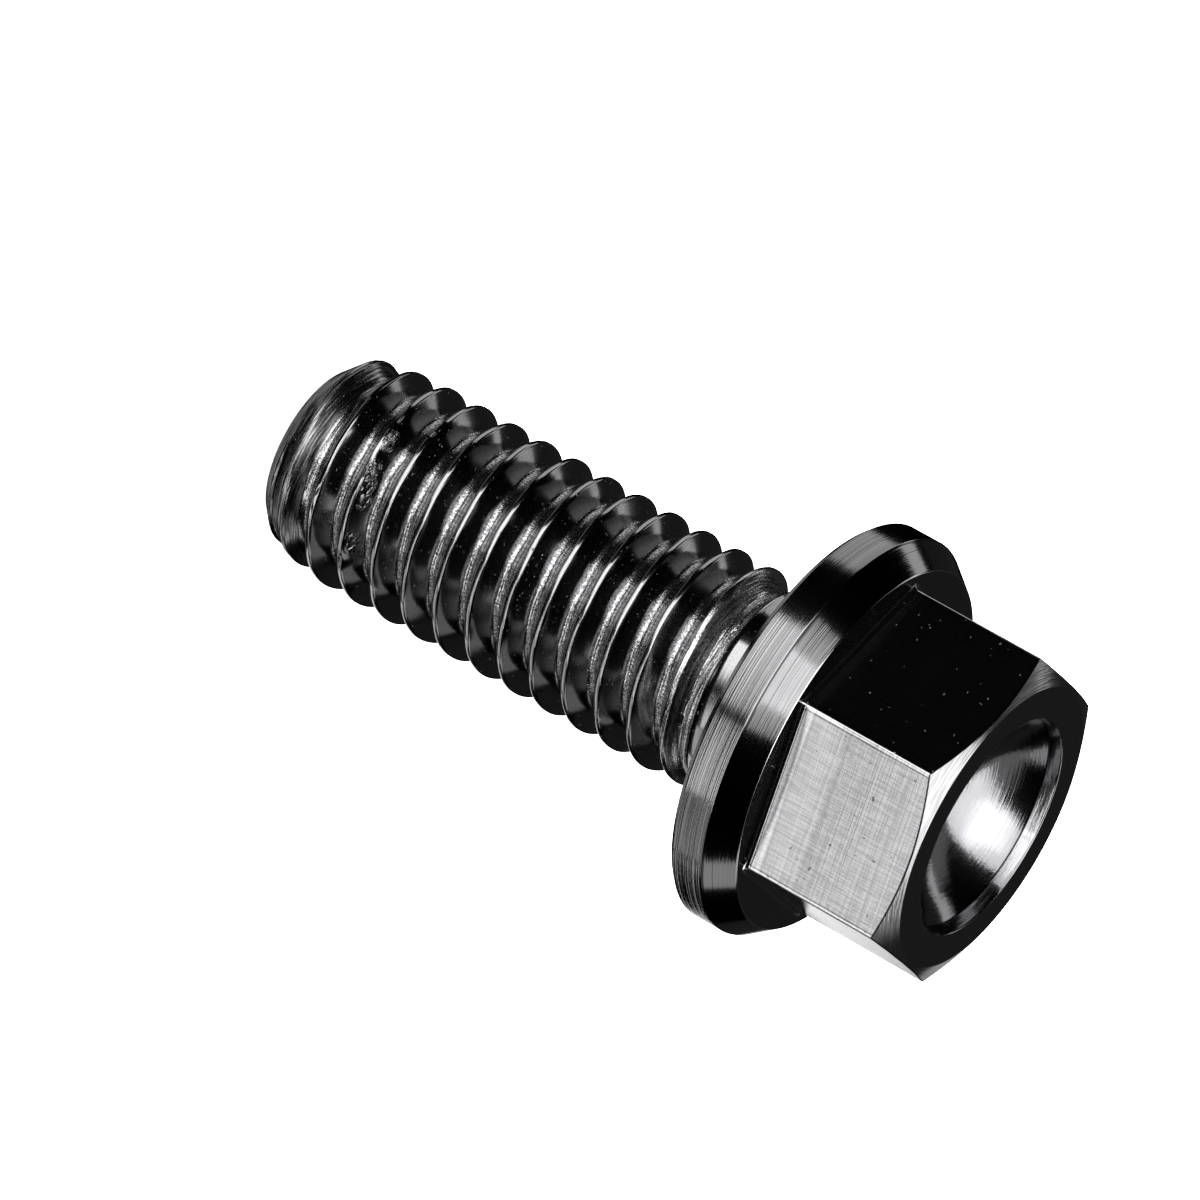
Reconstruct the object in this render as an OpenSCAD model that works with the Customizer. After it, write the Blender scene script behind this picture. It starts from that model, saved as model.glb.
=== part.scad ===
// Flanged hex-head bolt with a rolled thread and a dished head, turned and rolled from one bar.
// It stands on its threaded end, head up. The origin is the middle of the tip's end face,
// +Z runs up the axis and two of the hexagon's corners point along +Y and -Y.

/* [Thread] */
// Major diameter, over the thread's crests
thread_d = 5.88; // [5.6:0.01:6.4]
// Pitch of the right-hand thread
pitch = 1; // [0.5:0.05:1.1]
// Angle between the two flanks of the groove
flank_angle = 60; // [50:1:60]
// Angle around the axis at which a crest leaves the plane of the tip
thread_start = 6.5; // [0:0.5:359.5]
// Length over which the groove dies away below the neck
fade_l = 1.2; // [0.8:0.1:3]

/* [Shank] */
// Length from the tip to the bearing face of the flange
shank_l = 15; // [10:0.5:60]
// Diameter of the plain neck below the flange
neck_d = 5.36; // [5.1:0.01:5.5]
// Length of the plain neck
neck_l = 0.9; // [0.5:0.05:3]
// Length of the slope from the last crest down to the neck
shoulder_l = 0.5; // [0.2:0.05:1]
// Diameter of the flat at the tip
tip_d = 4.44; // [3.8:0.01:4.8]
// Slope of the tip's chamfer, measured from the end face
tip_angle = 45; // [30:1:60]
// Radius of the fillet where the neck meets the flange
neck_fillet = 0.32; // [0.1:0.01:0.4]

/* [Flange] */
// Outside diameter
flange_d = 10.96; // [10.4:0.02:14]
// Thickness from the bearing face to the ring round the hexagon
flange_h = 1.7; // [1.4:0.05:2.4]
// Height up to which the turned edge is straight
edge_h = 1; // [0.5:0.05:1.2]
// Diameter of the flat ring at the top of the flange's slope
ring_d = 9.9; // [9.8:0.02:10.2]
// Bevel between the bearing face and the turned edge
under_bevel = 0.15; // [0.05:0.01:0.3]

/* [Hexagon] */
// Width across the flats
across_flats = 7.96; // [7.78:0.01:8]
// Height from the ring to the end face
hex_h = 4.08; // [3.6:0.02:8]
// Diameter of the end face, inside the chamfer
end_d = 7.7; // [7:0.02:7.9]
// Slope of the chamfer that rounds the corners, measured from the end face
chamfer_angle = 24; // [15:1:40]
// Radius of the fillet at the foot of the flats
foot_fillet = 0.14; // [0.1:0.01:0.3]

/* [Dish] */
// Diameter of the dish's mouth
dish_d = 5.96; // [4.5:0.02:6.2]
// Depth of the steep rim
rim_depth = 0.34; // [0.1:0.01:0.6]
// How far the steep rim draws in over that depth, on each side
rim_draw = 0.08; // [0:0.01:0.3]
// Slope at which the round bowl starts below the rim; it is level at its middle
bowl_angle = 45; // [20:1:60]

/* [Hidden] */
$fn = 96;
STEEL = [0.16, 0.16, 0.17];

eps = 0.01;
thread_r = thread_d / 2;
neck_r = neck_d / 2;
tip_r = tip_d / 2;
flange_r = flange_d / 2;
end_r = end_d / 2;

// Basic profile of the thread: an eighth of the pitch is flat at the crest, and the groove is
// as deep as its two flanks allow with a quarter of the pitch at its root.
crest_w = pitch / 8;
root_w = pitch / 4;
flank_slope = tan(flank_angle / 2);
groove_depth = (pitch - crest_w - root_w) / 2 / flank_slope;
root_r = thread_r - groove_depth;

// Heights along the axis
tip_chamfer_h = (thread_r - tip_r) * tan(tip_angle);
neck_z = shank_l - neck_l;
crest_end_z = neck_z - shoulder_l;
ring_z = shank_l + flange_h;
end_z = ring_z + hex_h;
rim_r = dish_d / 2 - rim_draw;
bowl_z = end_z - rim_depth;
bowl_r = rim_r / sin(bowl_angle);
bowl_depth = bowl_r * (1 - cos(bowl_angle));

// Groove that is cut into the shank: rings of four points along a helix. It starts below the
// tip and climbs out of the metal at the neck, so neither of its ends is inside the bolt.
ring_steps = 24;
groove_clear = 0.08;
groove_top_r = thread_r + groove_clear;
groove_start_z = -pitch;
groove_end_z = neck_z - root_w;
groove_rings = floor((groove_end_z - groove_start_z) / pitch * ring_steps);

function groove_z(i) = groove_start_z + pitch * i / ring_steps;
function groove_angle(i) = thread_start + 180 + 360 * i / ring_steps;

// Radius of the groove's bottom. Over the fade's length it rises past the crests, to just
// short of the groove's own mouth, so that its last ring still has four corners.
function groove_root(z) =
    root_r + (groove_top_r - eps - root_r) * max(0, 1 - (groove_end_z - z) / fade_l);

function groove_ring(i) =
    let (
        z = groove_z(i),
        a = groove_angle(i),
        r = groove_root(z),
        foot = root_w / 2,
        mouth = foot + (groove_top_r - r) * flank_slope
    )
    [
        [groove_top_r * cos(a), groove_top_r * sin(a), z + mouth],
        [r * cos(a), r * sin(a), z + foot],
        [r * cos(a), r * sin(a), z - foot],
        [groove_top_r * cos(a), groove_top_r * sin(a), z - mouth]
    ];

// Solid between a row of rings with the same number of points, closed at both ends
module swept(rings) {
    n = len(rings[0]);
    last = len(rings) - 1;
    points = [for (ring = rings) for (p = ring) p];
    sides = [
        for (i = [0:last - 1]) for (j = [0:n - 1])
            let (a = i * n + j, b = i * n + (j + 1) % n)
            each [[a, b, b + n], [a, b + n, a + n]]
    ];
    caps = [[for (j = [n - 1:-1:0]) j], [for (j = [0:n - 1]) last * n + j]];
    polyhedron(points, concat(sides, caps), convexity = 20);
}

module thread_groove() {
    swept([for (i = [0:groove_rings]) groove_ring(i)]);
}

// Shank at its crest diameter, with the tip's chamfer and the slope down to the neck
module shank() {
    rotate_extrude()
        polygon([
            [0, 0],
            [tip_r, 0],
            [thread_r, tip_chamfer_h],
            [thread_r, crest_end_z],
            [neck_r, neck_z],
            [neck_r, shank_l + eps],
            [0, shank_l + eps]
        ]);
}

// Fillet between the neck and the bearing face
module neck_root() {
    rotate_extrude()
        translate([neck_r, shank_l])
            difference() {
                translate([-neck_r / 2, -neck_fillet])
                    square([neck_r / 2 + neck_fillet, neck_fillet + eps]);
                translate([neck_fillet, -neck_fillet])
                    circle(neck_fillet);
            }
}

module flange() {
    rotate_extrude()
        polygon([
            [0, shank_l],
            [flange_r - under_bevel, shank_l],
            [flange_r, shank_l + under_bevel],
            [flange_r, shank_l + edge_h],
            [ring_d / 2, ring_z],
            [0, ring_z]
        ]);
}

// Bar that is as wide as one pair of flats, with the fillet along both of its feet
module flats(turn) {
    half = across_flats / 2;
    reach = half + foot_fillet;
    rotate([0, 0, turn])
        translate([0, reach / cos(30), ring_z])
            rotate([90, 0, 0])
                linear_extrude(2 * reach / cos(30))
                    difference() {
                        translate([-reach, -eps])
                            square([2 * reach, hex_h + eps]);
                        for (side = [0, 1])
                            mirror([side, 0]) {
                                translate([half, foot_fillet])
                                    square([2 * foot_fillet, hex_h]);
                                translate([reach, foot_fillet])
                                    circle(foot_fillet);
                            }
                    }
}

// Hexagon where the three pairs of flats cross, with its corners turned off at the end face
module hexagon() {
    intersection() {
        flats(0);
        flats(60);
        flats(120);
        translate([0, 0, ring_z - eps])
            cylinder(
                r1 = end_r + (hex_h + eps) / tan(chamfer_angle),
                r2 = end_r,
                h = hex_h + eps
            );
    }
}

// Dish in the end face: a steep rim and a round bowl below it
module dish() {
    rotate_extrude() {
        polygon([
            [0, end_z + eps],
            [dish_d / 2, end_z + eps],
            [dish_d / 2, end_z],
            [rim_r, bowl_z],
            [0, bowl_z - bowl_depth / 2]
        ]);
        intersection() {
            translate([0, bowl_z - bowl_depth + bowl_r])
                circle(bowl_r);
            translate([0, bowl_z - bowl_r])
                square([bowl_r, bowl_r]);
        }
    }
}

module bolt() {
    color(STEEL)
        union() {
            difference() {
                shank();
                thread_groove();
            }
            neck_root();
            difference() {
                union() {
                    flange();
                    hexagon();
                }
                dish();
            }
        }
}

bolt();
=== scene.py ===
import bpy
import bmesh
import math
import numpy as np
from mathutils import Matrix, Vector


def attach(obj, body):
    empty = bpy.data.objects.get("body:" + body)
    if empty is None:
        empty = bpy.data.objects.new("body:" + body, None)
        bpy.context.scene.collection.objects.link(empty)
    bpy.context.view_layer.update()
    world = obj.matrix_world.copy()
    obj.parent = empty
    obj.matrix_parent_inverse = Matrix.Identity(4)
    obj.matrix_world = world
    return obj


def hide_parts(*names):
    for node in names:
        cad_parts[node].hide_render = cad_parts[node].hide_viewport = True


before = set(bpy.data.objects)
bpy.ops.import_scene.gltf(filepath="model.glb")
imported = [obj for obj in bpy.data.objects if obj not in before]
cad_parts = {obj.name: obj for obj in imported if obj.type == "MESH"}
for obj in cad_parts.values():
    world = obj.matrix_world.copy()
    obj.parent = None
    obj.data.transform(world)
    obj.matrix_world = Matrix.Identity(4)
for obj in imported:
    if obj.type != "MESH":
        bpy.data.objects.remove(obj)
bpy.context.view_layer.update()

MM = 0.001
UP = Vector((0, 0, 1))
scene = bpy.context.scene

# ---------------------------------------------------------------- sizes, in mm and degrees
PITCH = 1.0
THREAD_R = 2.94           # over the crests
ROOT_R = 2.40
THREAD_START = 6.5        # angle at which a crest leaves the plane of the tip
TIP_R = 2.22              # end face of the tip, inside its chamfer
TIP_ANGLE = 45.0          # slope of that chamfer, from the end face
NECK_R = 2.68
NECK_FILLET = 0.32
SHANK_L = 15.0
FLANGE_R = 5.48
UNDER_BEVEL = 0.15
EDGE_Z = 16.0             # top of the flange's straight edge
RING_R = 4.95             # upper edge of the flange's slope
RING_Z = 16.7
HALF_AF = 3.98            # half the width across the flats
FOOT = 0.14               # fillet at the foot of the flats
END_Z = 20.78
END_R = 3.85              # end face of the head, inside its chamfer
CHAMFER_ANGLE = 24.0      # slope of that chamfer, from the end face
MOUTH_R = 2.98            # dish, at the end face
RIM_R = 2.90              # dish, below its steep rim
RIM_DEPTH = 0.34
BOWL_ANGLE = 45.0         # slope of the dish just below its steep rim
JOIN_Z = 14.25            # where the shank's grid meets the head's

# Rounding of the head's edges
CORNER_SOFT = 0.07        # between two flats
TURNED_SOFT = 0.05        # round the flange's slope
CHAMFER_SOFT = 0.035      # between the flats and the chamfer
EDGE_SOFT = 0.03          # bevel, end face and the dish's mouth
RIM_SOFT = 0.01           # between the dish's rim and its bowl


def step(a, b, x):
    """0 below a and 1 above b, smooth between them."""
    t = np.clip((x - a) / (b - a), 0.0, 1.0)
    return t * t * (3 - 2 * t)


# ---------------------------------------------------------------- columns of the mesh
COLUMN_COUNT = 144
CORNER_STEPS = (0.14, 0.26, 0.38, 0.8)    # more columns, so many degrees from each corner


def columns():
    """Angles of the columns from the thread's start: even, and closer at the six corners."""
    angles = set(round(360 / COLUMN_COUNT * i, 4) for i in range(COLUMN_COUNT))
    for corner in range(30, 360, 60):
        for off in CORNER_STEPS:
            angles.add(round(corner + off, 4))
            angles.add(round(corner - off, 4))
    return sorted((a - THREAD_START) % 360.0 for a in angles)


COLS = columns()


# ---------------------------------------------------------------- thread
# u counts pitches along the axis: a crest is at 0, the root at 0.5 and the next crest at 1.
CREST_HALF = 0.0625       # half of the crest's width
ROOT_HALF = 0.125         # half of the root's width
ROOT_HOLLOW = 0.03        # how far the rounded root is sunk, in mm
BLUR = 0.024              # reach of the rounding at the crest's edges
BLUR_WINDOW = 0.029       # where that rounding's weight would be nothing

# Waves in the thread's lead: share of the pitch, waves in a turn, degrees for each mm of height
WAVES = [(0.012, 3, 97), (0.008, 11, -211)]

# Heights between which the thread changes near its two ends
TIP_CREST, TIP_ROOT = (0.5, 2.0), (0.2, 1.5)
TOP_CREST, TOP_ROOT, TOP_HOLLOW = (12.6, 13.5), (12.5, 13.75), (12.5, 13.5)
NECK_START = (13.4, 13.6)
TIP_CREST_DROP = 0.20     # the first crests are that much lower
TIP_ROOT_RISE = 0.16      # the first root is that much higher
TOP_CREST_DROP = 0.24     # the last crests are that much lower

# Fine ridges left by the rolls on the tip and in the run-out: height of a ridge, its pitch and
# the heights where the ridges start, are full, begin to fade and end
TIP_RIDGES = (0.016, 0.25, (0.15, 0.4), (1.0, 1.9))
RUNOUT_RIDGES = (0.034, 0.34, (12.2, 12.8), (13.35, 13.5))

# Nicks in the crests: azimuth, height, half width round and along, depth
NICKS = [
    (-118.0, 2.62, 5.0, 0.14, 0.10),
    (-101.0, 2.90, 4.0, 0.12, 0.09),
    (-124.0, 3.62, 4.0, 0.12, 0.08),
    (-62.0, 1.95, 6.0, 0.16, 0.10),
    (-85.0, 3.02, 3.0, 0.10, 0.10),
    (-90.0, 3.10, 2.2, 0.08, 0.08),
    (-104.0, 3.28, 3.0, 0.10, 0.08),
    (-37.0, 2.92, 4.0, 0.12, 0.08),
    (-52.0, 2.05, 4.0, 0.12, 0.08),
    (150.0, 5.4, 4.0, 0.12, 0.07),
    (40.0, 8.8, 4.0, 0.12, 0.06),
    (75.0, 3.3, 5.0, 0.14, 0.08),
]

# Rows of the mesh in each pitch, closer round the crest and at the feet of the flanks
PHASES = [
    0.0, 0.028, 0.045, 0.0625, 0.08, 0.092, 0.2,
    0.335, 0.355, 0.375, 0.392, 0.415, 0.445, 0.472,
    0.5, 0.528, 0.555, 0.585, 0.608, 0.625, 0.645,
    0.665, 0.8, 0.908, 0.92, 0.9375, 0.955, 0.972,
]


def from_crest(u):
    """Distance from the nearest crest, in pitches."""
    return np.abs((u + 0.5) % 1.0 - 0.5)


def trapezoid(u):
    """Height of the thread's ridge, 1 at the crest and 0 at the root."""
    foot = 0.5 - ROOT_HALF
    return np.clip((foot - from_crest(u)) / (foot - CREST_HALF), 0, 1)


def ridge(u):
    """The same ridge with rounded edges."""
    taps = np.linspace(-BLUR, BLUR, 9)
    weights = np.cos(taps / BLUR_WINDOW * math.pi / 2)
    return sum(w * trapezoid(u + t) for t, w in zip(taps, weights)) / weights.sum()


def hollow(u):
    """Depth of the rounded root between the feet of the flanks, in mm."""
    return ROOT_HOLLOW * (1 - np.clip((0.5 - from_crest(u)) / ROOT_HALF, 0, 1) ** 2)


def rolled(az, z, ridges):
    """Fine ridges round the shank, in mm."""
    height, pitch, start, end = ridges
    wave = np.sin(2 * math.pi * (z / pitch - az / 360.0))
    return height * step(*start, z) * (1 - step(*end, z)) * wave


def shank_radius(az, z):
    """Radius of the shank in mm, for arrays of azimuths and heights."""
    lead = sum(a * np.sin(np.radians(az * n + z * d)) for a, n, d in WAVES)
    u = z / PITCH - (az - THREAD_START) / 360.0 + lead
    h = ridge(u)
    crest = THREAD_R - TIP_CREST_DROP * (1 - step(*TIP_CREST, z))
    crest = crest - TOP_CREST_DROP * step(*TOP_CREST, z)
    root = ROOT_R + (NECK_R - ROOT_R) * step(*TOP_ROOT, z)
    root = root + TIP_ROOT_RISE * (1 - step(*TIP_ROOT, z))
    crest = np.maximum(crest, root)
    r = root + (crest - root) * h - hollow(u) * (1 - step(*TOP_HOLLOW, z))
    r = r + rolled(az, z, TIP_RIDGES)
    # those in the run-out come and go five times round it
    r = r + rolled(az, z, RUNOUT_RIDGES) * (0.6 + 0.4 * np.sin(np.radians(az * 5)))
    for nick_az, nick_z, wide, high, depth in NICKS:
        off = (az - nick_az + 180) % 360 - 180
        dent = np.exp(-((off / wide) ** 2 + ((z - nick_z) / high) ** 2))
        # deepest on the crest, and shallow in the root
        r = r - depth * dent * (0.3 + 0.7 * h)
    neck = step(*NECK_START, z)
    r = r * (1 - neck) + NECK_R * neck
    chamfer = TIP_R + np.maximum(z, 0) / math.tan(math.radians(TIP_ANGLE))
    return np.minimum(r, chamfer)


def shank_mesh():
    """A grid whose rows follow the thread's helix and stop at the tip and at the head."""
    turns = range(-2, math.ceil(JOIN_Z / PITCH) + 2)
    rise = np.array([turn + u for turn in turns for u in PHASES])
    t = np.array(COLS)
    z = np.clip(PITCH * (t[:, None] / 360.0 + rise[None, :]), 0.0, JOIN_Z)
    az = (t + THREAD_START)[:, None] + np.zeros_like(z)
    r = shank_radius(az, z)
    x = r * np.cos(np.radians(az))
    y = r * np.sin(np.radians(az))
    verts = np.stack([x, y, z], -1).reshape(-1, 3)
    n, k = z.shape    # n columns of k points
    faces = []
    for j in range(n):
        for i in range(k - 1):
            if j < n - 1:
                right = (j + 1) * k + i
            elif i + 1 + len(PHASES) < k:
                # past the last column a row carries on in the first one, a pitch further up
                right = i + len(PHASES)
            else:
                continue
            quad = [j * k + i, right, right + 1, j * k + i + 1]
            heights = [verts[v][2] for v in quad]
            # what was cut off at an end is flat there
            if max(heights) - min(heights) > 1e-9:
                faces.append(quad)
    return verts, faces


# ---------------------------------------------------------------- head
THREAD, TURNED, FLAT, CHAMFER, DISH = range(5)    # the five materials, in the mesh's order

SOFT_STEPS = 3            # faces in a rounded edge
SIDE_SHARE = 0.45         # the most that a rounding takes of the sides next to it
HOLD = 0.02               # a further point beside each rounding keeps its sides flat
BOWL_STEPS = (0.96, 0.92, 0.86, 0.79, 0.72, 0.64, 0.56, 0.48, 0.40, 0.30, 0.20, 0.10)


def hex_r(delta, half):
    """Radius of a hexagon with rounded corners, delta degrees from the middle of a flat."""
    d = (half - CORNER_SOFT) / math.cos(math.radians(30))
    off = math.radians(30 - abs(delta))
    reach = math.atan2(CORNER_SOFT * 0.5, d + CORNER_SOFT * math.cos(math.radians(30)))
    if off < reach:
        return d * math.cos(off) + math.sqrt(max(CORNER_SOFT ** 2 - (d * math.sin(off)) ** 2, 0))
    return half / math.cos(math.radians(delta))


def soften(points):
    """Rounds the corners of a line of (r, z, radius, material) points, all with as many faces."""
    out = []
    for i, (r, z, soft, mat) in enumerate(points):
        if not soft:
            out.append((r, z, mat))
            continue
        p = Vector((r, z))
        a = Vector(points[i - 1][:2]) - p
        b = Vector(points[i + 1][:2]) - p
        la, lb = a.length, b.length
        a.normalize()
        b.normalize()
        half = math.acos(max(-1, min(1, a.dot(b)))) / 2
        cut = min(soft / math.tan(half), la * SIDE_SHARE, lb * SIDE_SHARE)
        before = p + a * min(cut + HOLD, la * 0.5)
        after = p + b * min(cut + HOLD, lb * 0.5)
        centre = p + (a + b).normalized() * (cut / math.cos(half))
        arm, last = p + a * cut - centre, p + b * cut - centre
        sweep = arm.angle_signed(last)
        out.append((before.x, before.y, points[i - 1][3]))
        for s in range(SOFT_STEPS + 1):
            spoke = arm.copy()
            spoke.rotate(Matrix.Rotation(-sweep * s / SOFT_STEPS, 2))
            q = centre + spoke
            out.append((q.x, q.y, mat))
        out.append((after.x, after.y, mat))
    return out


def bowl_z(r):
    """Height of the dish's round bowl at that distance from the axis."""
    slope = math.radians(BOWL_ANGLE)
    ball = RIM_R / math.sin(slope)
    return END_Z - RIM_DEPTH + RIM_R / math.tan(slope) - math.sqrt(ball * ball - r * r)


def head_profile(az):
    """The head's outline from the neck to the bowl, in the plane at that azimuth."""
    delta = (az + 30) % 60 - 30
    pts = [(NECK_R, JOIN_Z, 0, THREAD), (NECK_R, SHANK_L - NECK_FILLET, 0, THREAD)]
    for deg in (15, 30, 45, 60, 75):
        r = NECK_R + NECK_FILLET * (1 - math.cos(math.radians(deg)))
        z = SHANK_L - NECK_FILLET * (1 - math.sin(math.radians(deg)))
        pts.append((r, z, 0, THREAD))
    inner, outer = NECK_R + NECK_FILLET, FLANGE_R - UNDER_BEVEL
    for f in (0, 0.2, 0.5, 0.8):
        pts.append((inner + f * (outer - inner), SHANK_L, 0, TURNED))
    pts.append((outer, SHANK_L, EDGE_SOFT, TURNED))
    pts.append((FLANGE_R, SHANK_L + UNDER_BEVEL, EDGE_SOFT, TURNED))
    pts.append((FLANGE_R, EDGE_Z, TURNED_SOFT, TURNED))
    pts.append((RING_R, RING_Z, TURNED_SOFT, TURNED))
    foot = []
    for deg in (0, 15, 30, 45, 60, 75, 90):
        half = HALF_AF + FOOT * (1 - math.sin(math.radians(deg)))
        z = RING_Z + FOOT * (1 - math.cos(math.radians(deg)))
        foot.append((hex_r(delta, half), z, 0, FLAT))
    pts.append(((RING_R + foot[0][0]) / 2, RING_Z, 0, TURNED))
    pts += foot
    flat_r = hex_r(delta, HALF_AF)
    low = RING_Z + FOOT
    high = END_Z - (flat_r - END_R) * math.tan(math.radians(CHAMFER_ANGLE))
    for f in (0.33, 0.66):
        pts.append((flat_r, low + f * (high - low), 0, FLAT))
    pts.append((flat_r, high, CHAMFER_SOFT, CHAMFER))
    pts.append((END_R, END_Z, EDGE_SOFT, TURNED))
    pts.append(((END_R + MOUTH_R) / 2, END_Z, 0, TURNED))
    pts.append((MOUTH_R, END_Z, EDGE_SOFT, DISH))
    pts.append((RIM_R, END_Z - RIM_DEPTH, RIM_SOFT, DISH))
    for f in BOWL_STEPS:
        pts.append((RIM_R * f, bowl_z(RIM_R * f), 0, DISH))
    return soften(pts)


def head_mesh():
    """The profiles of all the columns joined into one skin, closed at the middle of the bowl."""
    profiles = [head_profile((t + THREAD_START) % 360.0) for t in COLS]
    n, k = len(profiles), len(profiles[0])
    verts, faces, mats = [], [], []
    for t, profile in zip(COLS, profiles):
        a = math.radians(t + THREAD_START)
        verts += [(r * math.cos(a), r * math.sin(a), z) for r, z, mat in profile]
    apex = len(verts)
    verts.append((0.0, 0.0, bowl_z(0.0)))
    for j in range(n):
        left, right = j * k, (j + 1) % n * k
        for i in range(k - 1):
            faces.append([left + i, right + i, right + i + 1, left + i + 1])
            mats.append(profiles[j][i][2])
        faces.append([left + k - 1, right + k - 1, apex])
        mats.append(DISH)
    return verts, faces, mats


# ---------------------------------------------------------------- bolt
MERGE = 2e-7              # metres within which points at the seams are joined
SHARP_ANGLE = 50.0        # edges that turn by more are shaded sharp


def build_bolt():
    shank_verts, faces = shank_mesh()
    head_verts, head_faces, head_mats = head_mesh()
    mats = [THREAD] * len(faces) + head_mats
    first = len(shank_verts)
    verts = list(shank_verts) + head_verts
    faces += [[v + first for v in face] for face in head_faces]
    # flat end face of the tip
    centre, n = len(verts), len(COLS)
    verts.append((0.0, 0.0, 0.0))
    for t in COLS:
        a = math.radians(t + THREAD_START)
        verts.append((TIP_R * math.cos(a), TIP_R * math.sin(a), 0.0))
    for j in range(n):
        faces.append([centre, centre + 1 + (j + 1) % n, centre + 1 + j])
        mats.append(TURNED)
    mesh = bpy.data.meshes.new("bolt_body")
    mesh.from_pydata([tuple(c * MM for c in v) for v in verts], [], faces)
    mesh.polygons.foreach_set("material_index", mats)
    bm = bmesh.new()
    bm.from_mesh(mesh)
    bmesh.ops.remove_doubles(bm, verts=bm.verts, dist=MERGE)
    bmesh.ops.dissolve_degenerate(bm, edges=bm.edges, dist=MERGE / 2)
    loose = [v for v in bm.verts if not v.link_faces]
    bmesh.ops.delete(bm, geom=loose, context="VERTS")
    bmesh.ops.recalc_face_normals(bm, faces=bm.faces)
    bm.to_mesh(mesh)
    bm.free()
    mesh.shade_smooth()
    mesh.set_sharp_from_angle(angle=math.radians(SHARP_ANGLE))
    obj = bpy.data.objects.new("bolt_body", mesh)
    scene.collection.objects.link(obj)
    return obj


bolt = build_bolt()
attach(bolt, "root")
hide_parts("bolt")


# ---------------------------------------------------------------- materials
# All five are the same metal, and its tone goes from the darkest colour (0) to GLINT (1).
# The painted shade lines pull it down to that darkest colour, and the painted highlights up to
# GLINT.
DARK_TONE_AND_SHADE = (0.03, 0.03, 0.032, 1.0)
GLINT = (0.85, 0.85, 0.86, 1.0)
BASE = (0.30, 0.30, 0.31, 1.0)    # tone of the dish, whose one dark line is painted shade


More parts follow.
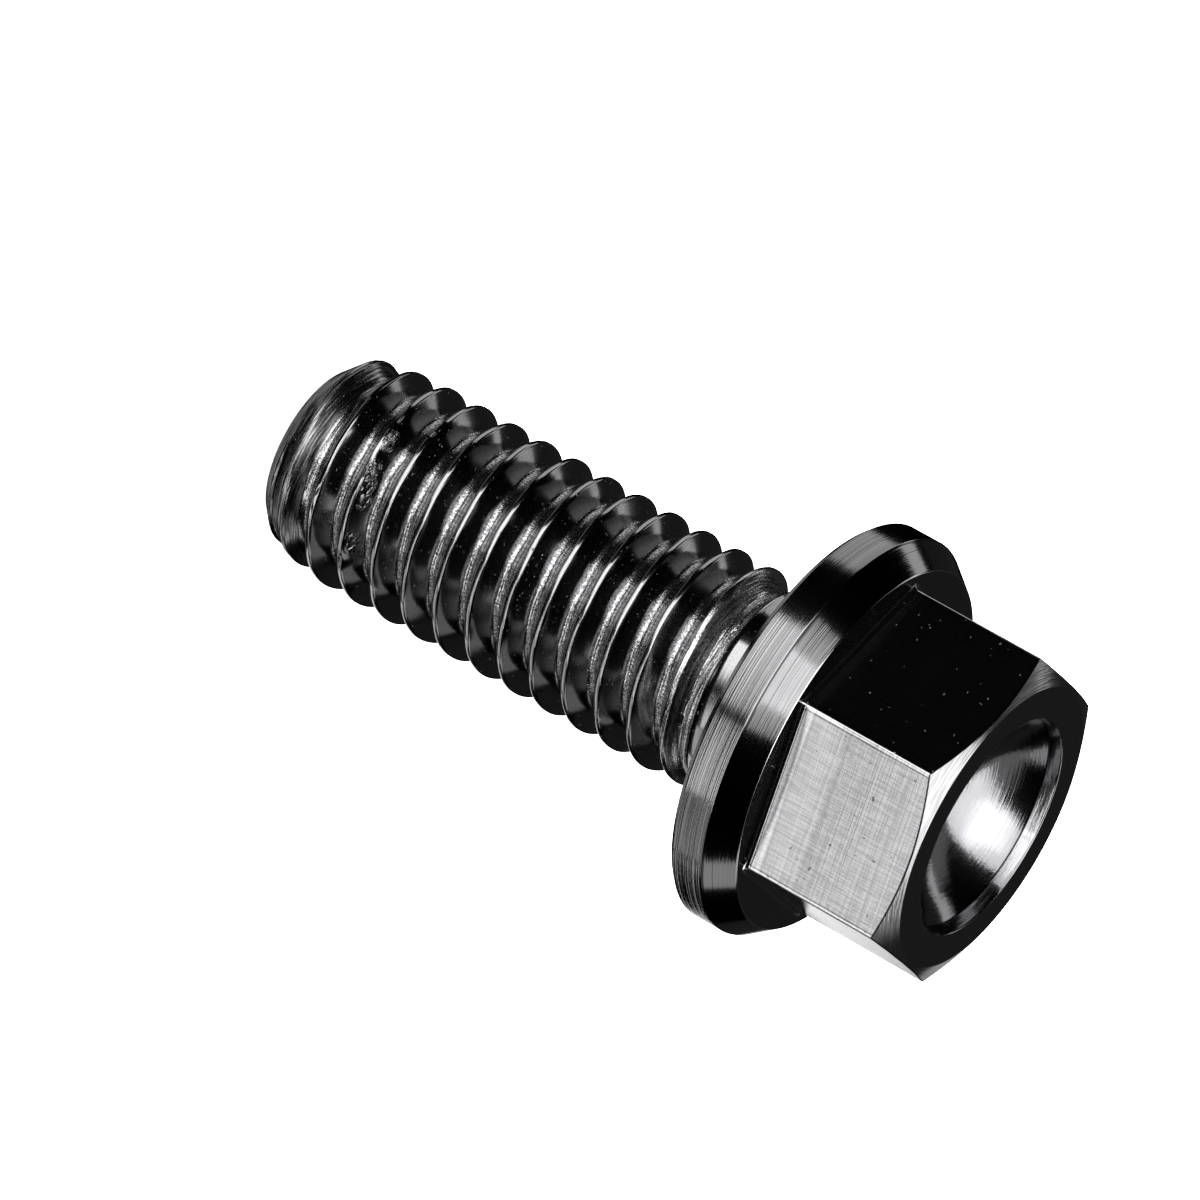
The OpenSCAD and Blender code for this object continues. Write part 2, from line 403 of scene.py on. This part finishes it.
class Nodes:
    """A material's node tree. Values are numbers or sockets, and lengths are in mm."""

    def __init__(self, name):
        self.mat = bpy.data.materials.new(name)
        self.mat.use_nodes = True
        self.nt = self.mat.node_tree
        self.nt.nodes.clear()
        out = self.nt.nodes.new("ShaderNodeOutputMaterial")
        self.bsdf = self.nt.nodes.new("ShaderNodeBsdfPrincipled")
        self.link(self.bsdf.outputs[0], out.inputs[0])

    def link(self, a, b):
        self.nt.links.new(a, b)

    def node(self, kind, **props):
        n = self.nt.nodes.new(kind)
        for key, value in props.items():
            setattr(n, key, value)
        return n

    def put(self, sockets, values):
        """Gives each socket its value, or links it to the socket that has it."""
        for socket, value in zip(sockets, values):
            if isinstance(value, (int, float, tuple)):
                socket.default_value = value
            else:
                self.link(value, socket)

    def math(self, op, *values):
        n = self.node("ShaderNodeMath", operation=op)
        self.put(n.inputs, values)
        return n.outputs[0]

    def add(self, *values):
        total = values[0]
        for value in values[1:]:
            total = self.math("ADD", total, value)
        return total

    def sub(self, a, b):
        return self.math("SUBTRACT", a, b)

    def mul(self, *values):
        product = values[0]
        for value in values[1:]:
            product = self.math("MULTIPLY", product, value)
        return product

    def most(self, *values):
        top = values[0]
        for value in values[1:]:
            top = self.math("MAXIMUM", top, value)
        return top

    def line(self, value, slope, start):
        """start where the value is 0, and slope more for each 1 of it."""
        return self.math("MULTIPLY_ADD", value, slope, start)

    def ramp(self, value, lo, hi, a=0.0, b=1.0):
        """a up to lo, b from hi, smooth between them."""
        n = self.node("ShaderNodeMapRange", interpolation_type="SMOOTHSTEP")
        self.put(n.inputs, (value, lo, hi, a, b))
        return n.outputs[0]

    def stripe(self, value, middle, lo, hi, a=1.0, b=0.0):
        """a within lo of the middle, b beyond hi."""
        return self.ramp(self.math("ABSOLUTE", self.sub(value, middle)), lo, hi, a, b)

    def contrast(self, value, lo, hi):
        """-0.5 up to lo, 0.5 from hi."""
        return self.sub(self.ramp(value, lo, hi), 0.5)

    def vec(self, *values):
        n = self.node("ShaderNodeCombineXYZ")
        self.put(n.inputs, values)
        return n.outputs[0]

    def scaled(self, values, factors):
        return self.vec(*(self.mul(v, f) for v, f in zip(values, factors)))

    def position(self):
        """x, y, z and the distance from the axis."""
        sep = self.node("ShaderNodeSeparateXYZ")
        self.link(self.node("ShaderNodeTexCoord").outputs["Object"], sep.inputs[0])
        x, y, z = (self.mul(sep.outputs[i], 1 / MM) for i in range(3))
        return x, y, z, self.math("SQRT", self.add(self.mul(x, x), self.mul(y, y)))

    def normal_z(self):
        sep = self.node("ShaderNodeSeparateXYZ")
        self.link(self.node("ShaderNodeTexCoord").outputs["Normal"], sep.inputs[0])
        return sep.outputs[2]

    def near(self, p, points, lo, hi):
        """1 within lo of any of the points, 0 beyond hi."""
        least = hi
        for point in points:
            n = self.node("ShaderNodeVectorMath", operation="DISTANCE")
            self.put(n.inputs, (p, point))
            least = self.math("MINIMUM", least, n.outputs["Value"])
        return self.ramp(least, lo, hi, 1.0, 0.0)

    def across_flats(self, x, y):
        """Distance from the axis, measured square to the nearest flat."""
        sides = [x] + [self.line(x, 0.5, self.mul(y, s * math.sqrt(0.75))) for s in (1, -1)]
        return self.most(*(self.math("ABSOLUTE", side) for side in sides))

    def noise(self, vector, scale, detail, rough=0.5, w=None):
        n = self.node("ShaderNodeTexNoise", noise_dimensions="3D" if w is None else "4D")
        names = ("Vector", "Scale", "Detail", "Roughness")
        self.put([n.inputs[name] for name in names], (vector, scale, detail, rough))
        if w is not None:
            self.link(w, n.inputs["W"])
        return n.outputs[0]

    def grain(self, values, factors, detail, rough=0.5, w=None):
        """Noise that is 1 / factor long in the direction of each value."""
        return self.noise(self.scaled(values, factors), 1.0, detail, rough, w)

    def bump(self, height, distance, strength):
        n = self.node("ShaderNodeBump")
        names = ("Height", "Distance", "Strength")
        self.put([n.inputs[name] for name in names], (height, distance * MM, strength))
        return n.outputs[0]

    def metal(self, tone, rough, normal, light=GLINT):
        mix = self.node("ShaderNodeMix", data_type="RGBA", clamp_factor=True)
        self.put((mix.inputs["Factor"], mix.inputs[6], mix.inputs[7]), (tone, DARK_TONE_AND_SHADE, light))
        names = ("Metallic", "Base Color", "Roughness", "Normal")
        self.put([self.bsdf.inputs[name] for name in names], (1.0, mix.outputs[2], rough, normal))
        return self.mat


# Radii and heights between which the thread's finish changes
ROOT_BAND = (2.41, 2.47)      # root to flank
FLANK_BAND = (2.52, 2.86)     # foot of the flank to its top
CREST_BAND = (2.90, 2.93)     # flank to crest
TIP_BAND = (0.9, 1.5)         # tip to thread
RUNOUT_BAND = (12.3, 12.8)    # thread to run-out
NECK_BAND = (13.42, 13.5)     # run-out to neck

# Torn places on the first crests and in the run-out: azimuth and height
SCARS = [
    (-73.0, 3.04), (-81.0, 2.98), (-89.0, 2.88), (-107.0, 2.84), (-95.0, 3.10),
    (-48.0, 3.09), (-41.0, 3.31), (-31.0, 3.65), (-56.0, 1.50), (-53.0, 2.15),
    (-44.0, 2.50), (-129.0, 2.20), (70.0, 2.4), (150.0, 3.4),
    (-142.0, 13.12), (-133.0, 13.18), (-124.0, 13.14), (-113.0, 13.20), (-94.0, 13.28),
    (60.0, 13.1),
]
SCAR_R = 2.85                 # distance of the torn places from the axis
SCAR_RATIO = 2.6              # their length round the thread over their height
SCAR_REACH = (0.10, 0.42)     # fully torn up to the first distance, whole beyond the second


def torn_places(m, x, y, z):
    """1 in the torn places, broken up by noise, and 0 elsewhere."""
    flattened = m.scaled((x, y, z), (1.0, 1.0, SCAR_RATIO))
    places = []
    for az, high in SCARS:
        a = math.radians(az)
        places.append((SCAR_R * math.cos(a), SCAR_R * math.sin(a), high * SCAR_RATIO))
    broken = m.ramp(m.noise(flattened, 5.0, 2.0), 0.40, 0.56, 0.1, 1.0)
    return m.mul(m.near(flattened, places, *SCAR_REACH), broken)


def thread_material():
    m = Nodes("rolled_thread")
    x, y, z, r = m.position()
    p = m.vec(x, y, z)
    # the root, the tip and the run-out are grainy, the flanks and the neck are smooth
    root = m.ramp(r, *ROOT_BAND, 1.0, 0.0)
    tip = m.ramp(z, *TIP_BAND, 1.0, 0.0)
    runout = m.mul(m.ramp(z, *RUNOUT_BAND), m.ramp(z, *NECK_BAND, 1.0, 0.0))
    scar = torn_places(m, x, y, z)
    worn = m.most(tip, runout)
    grainy = m.most(m.mul(root, m.sub(1.0, tip)), runout, scar)
    # painted shade: the flank that faces the tip is darkened towards its crest
    under = m.ramp(m.normal_z(), -0.5, -0.2, 1.0, 0.0)
    painted_flank_shade = m.mul(under, m.ramp(r, *FLANK_BAND, 0.0, 0.26), m.sub(1.0, worn))
    # dots are short grains, streaks run round the thread, and tears lie between the two
    dots = m.noise(p, 18.0, 2.0, 0.7)
    streak = m.grain((x, y, z), (0.9, 0.9, 24.0), 2.0)
    tears = m.grain((x, y, z), (4.0, 4.0, 18.0), 3.0, 0.7)
    # tone, less the painted shade on the flank that faces the tip
    tone = m.sub(m.line(grainy, 0.08, 0.33), painted_flank_shade)
    tone = m.add(
        tone,
        m.ramp(r, *CREST_BAND, 0.0, 0.16),
        m.ramp(z, *NECK_BAND, 0.0, 0.12),
        m.mul(runout, 0.28),
        m.mul(scar, m.ramp(tears, 0.46, 0.60, -0.33, 0.40)),
        m.mul(m.contrast(dots, 0.40, 0.62), m.line(grainy, 0.42, 0.06)),
        m.mul(m.contrast(streak, 0.36, 0.64), m.line(runout, 0.3, m.mul(worn, 0.5))),
    )
    # fine grain, torn places, a few specks on the flanks and the streaks' ridges
    height = m.add(
        m.mul(m.noise(p, 22.0, 1.0, 0.6), m.line(root, 0.09, m.mul(runout, 0.12))),
        m.mul(tears, scar, 2.8),
        m.ramp(m.noise(p, 10.0, 1.0), 0.73, 0.79, 0.0, 0.35),
        m.mul(streak, m.line(tip, 0.35, m.line(runout, 0.22, 0.015))),
    )
    rough = m.line(m.most(grainy, tip), 0.07, 0.13)
    return m.metal(tone, rough, m.bump(height, 0.05, 1.0))


RIM_BAND = (5.3, 5.35)        # only the flange's edge lies beyond this
END_BAND = (20.6, 20.7)       # flange below it, the end face of the head above it


def turned_material():
    m = Nodes("turned_flange")
    x, y, z, r = m.position()
    lines = m.grain((r, z, x), (40.0, 40.0, 0.08), 1.0, 0.6, w=m.mul(y, 0.08))
    pits = m.noise(m.vec(x, y, z), 3.0, 2.0)
    slope = m.mul(m.ramp(z, EDGE_Z + 0.03, EDGE_Z + 0.08), m.ramp(z, *END_BAND, 1.0, 0.0))
    height = m.mul(
        m.add(m.mul(lines, 0.8), m.mul(pits, 0.15)),
        m.sub(m.ramp(z, *END_BAND, 1.0, 0.2), m.mul(slope, 0.5)),
    )
    depth = m.ramp(z, EDGE_Z, EDGE_Z + 0.05, 0.13, 0.03)
    tone = m.line(m.contrast(lines, 0.35, 0.65), depth, 0.33)
    # painted highlight and painted shade: the slope starts with a fine bright line and a dark one
    # above it
    outside = m.ramp(r, *RIM_BAND)
    up = m.mul(m.sub(z, EDGE_Z), outside)
    bright = m.mul(m.stripe(up, 0.004, 0.006, 0.018, 0.12), outside)
    dark = m.stripe(up, 0.034, 0.010, 0.024, 0.30)
    # and its upper edge has a painted highlight, a bright line along it
    ring_edge_highlight = m.stripe(r, RING_R, 0.010, 0.024, 0.45)
    ring_edge_highlight = m.mul(ring_edge_highlight, m.ramp(z, RING_Z - 0.06, RING_Z - 0.03))
    # the tone with the painted highlights added and the painted shade line taken off
    tone = m.add(m.sub(m.add(tone, bright), dark), ring_edge_highlight)
    return m.metal(tone, m.line(slope, -0.025, 0.125), m.bump(height, 0.010, 0.6))


# Nicks in one flat: where their middles are, and how far they reach
NICKED = [
    (1.153, -3.93, 19.277),
    (1.10, -3.96, 19.26),
    (2.552, -3.122, 18.611),
    (3.248, -2.72, 18.318),
    (3.30, -2.69, 18.30),
]
NICK_REACH = (0.015, 0.045)
CORNER_HIGHLIGHT_BAND = (4.552, 4.566)  # painted highlight: the flats' corners are painted bright beyond this
CORNER_SHADE_LINE = 4.544           # and have a painted shade line beside them
FOOT_HIGHLIGHT_START, FOOT_HIGHLIGHT_END = (16.80, 16.86), (17.0, 17.1)    # painted highlight: a bright strip at the foot of the flats


def flat_material():
    m = Nodes("milled_flats")
    x, y, z, r = m.position()
    p = m.vec(x, y, z)
    lines = m.grain((x, y, z), (0.15, 0.15, 30.0), 2.0, 0.6)
    cloth = m.grain((x, y, z), (20.0, 20.0, 1.2), 1.0)
    weave = m.add(m.mul(lines, 0.5), m.mul(cloth, 0.5))
    height = m.add(
        m.ramp(m.noise(p, 8.0, 1.0), 0.765, 0.80, 0.0, 2.4),
        m.mul(weave, 0.4),
        m.mul(m.noise(p, 5.0, 2.0), 0.3),
    )
    tone = m.add(
        m.line(m.contrast(weave, 0.38, 0.62), 0.14, 0.36),
        m.ramp(m.noise(p, 4.0, 3.0, 0.7), 0.285, 0.31, -0.30, 0.0),
        # painted highlight, a bright strip at the foot of the flats
        m.mul(m.ramp(z, *FOOT_HIGHLIGHT_START), m.ramp(z, *FOOT_HIGHLIGHT_END, 0.22, 0.0)),
        # painted highlight along the corners, and a painted shade line beside them
        m.ramp(r, *CORNER_HIGHLIGHT_BAND, 0.0, 0.3),
        m.stripe(r, CORNER_SHADE_LINE, 0.004, 0.010, -0.25),
        m.mul(m.near(p, NICKED, *NICK_REACH), -0.3),
    )
    return m.metal(tone, 0.15, m.bump(height, 0.010, 0.5))


def chamfer_material():
    m = Nodes("turned_chamfer")
    x, y, _, r = m.position()
    lines = m.grain((r, x, y), (24.0, 1.0, 1.0), 2.0)
    tone = m.line(m.contrast(lines, 0.35, 0.65), 0.18, 0.33)
    # painted shade, dark along its lower edge
    inward = m.sub(HALF_AF, m.across_flats(x, y))
    tone = m.mul(tone, m.ramp(inward, 0.016, 0.034, 0.1, 1.0))
    return m.metal(tone, 0.16, m.bump(lines, 0.010, 0.5))


def dish_material():
    m = Nodes("turned_dish")
    x, y, z, r = m.position()
    lines = m.grain((r, x, y), (18.0, 0.4, 0.4), 3.0, 0.6)
    pits = m.noise(m.vec(x, y, z), 6.0, 2.0)
    height = m.add(m.mul(lines, 0.7), m.mul(pits, 0.25))
    # painted shade, dark where the rim meets the bowl
    tone = m.stripe(z, END_Z - RIM_DEPTH, 0.012, 0.028, 0.0, 1.0)
    return m.metal(tone, 0.125, m.bump(height, 0.014, 0.6), light=BASE)


for make in (thread_material, turned_material, flat_material, chamfer_material, dish_material):
    bolt.data.materials.append(make())


# ---------------------------------------------------------------- floor and world
# Neither shows in the bolt's reflections, which are only of the soft boxes. The floor glows, so
# that it comes out nearly as pale as the ground of the photograph.
WHITE = (1.0, 1.0, 1.0, 1.0)
FLOOR_WHITE = (0.93, 0.93, 0.93, 1.0)
FLOOR_GLOW = 0.9
FLOOR_R = 3.0             # metres
FLOOR_Z = -0.00002        # just under the tip
WORLD_LEVEL = 2.6


def pale_floor():
    m = Nodes("pale_floor")
    names = ("Base Color", "Roughness", "Specular IOR Level", "Emission Color", "Emission Strength")
    m.put([m.bsdf.inputs[name] for name in names], (FLOOR_WHITE, 0.9, 0.0, WHITE, FLOOR_GLOW))
    return m.mat


bpy.ops.mesh.primitive_circle_add(
    vertices=96, radius=FLOOR_R, fill_type="NGON", location=(0, 0, FLOOR_Z)
)
floor = bpy.context.object
floor.name = "floor"
floor.data.materials.append(pale_floor())
floor.visible_glossy = False
floor.visible_shadow = False

world = bpy.data.worlds.new("studio")
scene.world = world
world.use_nodes = True
background = world.node_tree.nodes["Background"]
background.inputs[0].default_value = WHITE
background.inputs[1].default_value = WORLD_LEVEL
world.cycles_visibility.glossy = False


# ---------------------------------------------------------------- soft boxes
# Each stands at a bearing round the bolt and a height above the horizon, in degrees, and is as
# wide and high as it looks from the bolt. They light only the metal: the floor has the world.
# The real studio isn't known. The first 17 boxes come from a least-squares fit to the
# photograph's brightness at points on the bolt. right_dim, right_wall, back_strip and top_core
# were changed after it, the last two were added, and all values were rounded.
BOX_CENTRE = Vector((0, 0, 14 * MM))
BOX_DISTANCE = 0.5        # metres

# name, bearing, height above the horizon, width, height, brightness and turn about its own axis
SOFTBOXES = [
    ("key_high", -102.5, 23, 61, 63.5, 1.4, 5.5),
    ("key_low", -101.5, -9, 51, 32.5, 2.21, 8),
    ("top", 114, 83.5, 32, 87.5, 2.13, -32.5),
    ("left_low", 169, -16, 35, 27.5, 0.71, -3),
    ("left_strip", 146.5, 16.5, 9.5, 42.5, 0.84, 0),
    ("right_low", -46, -17.5, 42, 8.5, 2.08, -5.5),
    ("right_dim", -2.5, -24, 36, 6, 0.8, 4.5),
    ("right_strip", 28, 30, 17, 29.5, 0.61, -13),
    ("right_high", 68, 54, 36, 34, 0.28, -6),
    ("right_wall", -49, 12, 56.5, 11, 2.6, 4),
    ("back_strip", 88, -11, 7.5, 28.5, 0.42, 4),
    ("back_side", 55.5, -28, 62, 6, 1.11, 4.5),
    ("back_patch", 130, 31.5, 19.5, 7, 0.75, 8),
    ("top_core", 97, 84.5, 24, 36, 1.35, 2.5),
    ("back_fill", 98.5, 15, 74, 57, 0.02, 4),
    ("left_patch", 121, 41.5, 22, 18.5, 0.2, -11.5),
    ("right_rim", -7.5, -7.5, 55, 18.5, 0.44, -2.5),
    ("under", -125, -62, 60, 18, 0.6, 0),
    ("tip_low", 95, -58, 70, 24, 0.35, 0),
]


def softbox(name, az, el, wide, high, level, turn):
    a, e = math.radians(az), math.radians(el)
    back = Vector((math.cos(a) * math.cos(e), math.sin(a) * math.cos(e), math.sin(e)))
    data = bpy.data.lights.new(name, "AREA")
    data.shape = "RECTANGLE"
    data.size = 2 * BOX_DISTANCE * math.tan(math.radians(wide / 2))
    data.size_y = 2 * BOX_DISTANCE * math.tan(math.radians(high / 2))
    data.energy = level * math.pi * data.size * data.size_y
    obj = bpy.data.objects.new(name, data)
    scene.collection.objects.link(obj)
    side = UP.cross(back).normalized()
    rot = Matrix((side, back.cross(side), back)).transposed()
    rot = rot @ Matrix.Rotation(math.radians(turn), 3, "Z")
    obj.matrix_world = Matrix.Translation(BOX_CENTRE + back * BOX_DISTANCE) @ rot.to_4x4()
    obj.visible_diffuse = False
    obj.visible_camera = False


for box in SOFTBOXES:
    softbox(*box)

# ---------------------------------------------------------------- camera
# Fitted to the hexagon's edges, the circles of the head and the thread's crests. TILT and TURN
# say where it looks from, ROLL turns it about its own axis, and OFFSET is the origin's place
# along its own axes: right, up and back, in mm.
LENS = 284.87
SENSOR = 36.0
TILT, ROLL, TURN = math.radians(23.294), math.radians(29.427), math.radians(-85.309)
OFFSET = Vector((-7.068, 3.831, -239.665))

toward = Vector((math.cos(TURN), math.sin(TURN), 0))
across = Vector((-math.sin(TURN), math.cos(TURN), 0))
climb = UP * math.cos(TILT) - toward * math.sin(TILT)
right = climb * math.cos(ROLL) - across * math.sin(ROLL)
over = -climb * math.sin(ROLL) - across * math.cos(ROLL)
back = UP * math.sin(TILT) + toward * math.cos(TILT)
axes = Matrix((right, over, back)).transposed()

cam_data = bpy.data.cameras.new("camera")
cam_data.sensor_width = SENSOR
cam_data.lens = LENS
cam_data.clip_start, cam_data.clip_end = 0.01, 20.0
cam = bpy.data.objects.new("camera", cam_data)
scene.collection.objects.link(cam)
cam.matrix_world = Matrix.Translation(axes @ OFFSET * -MM) @ axes.to_4x4()
scene.camera = cam
scene.view_settings.view_transform = "Standard"
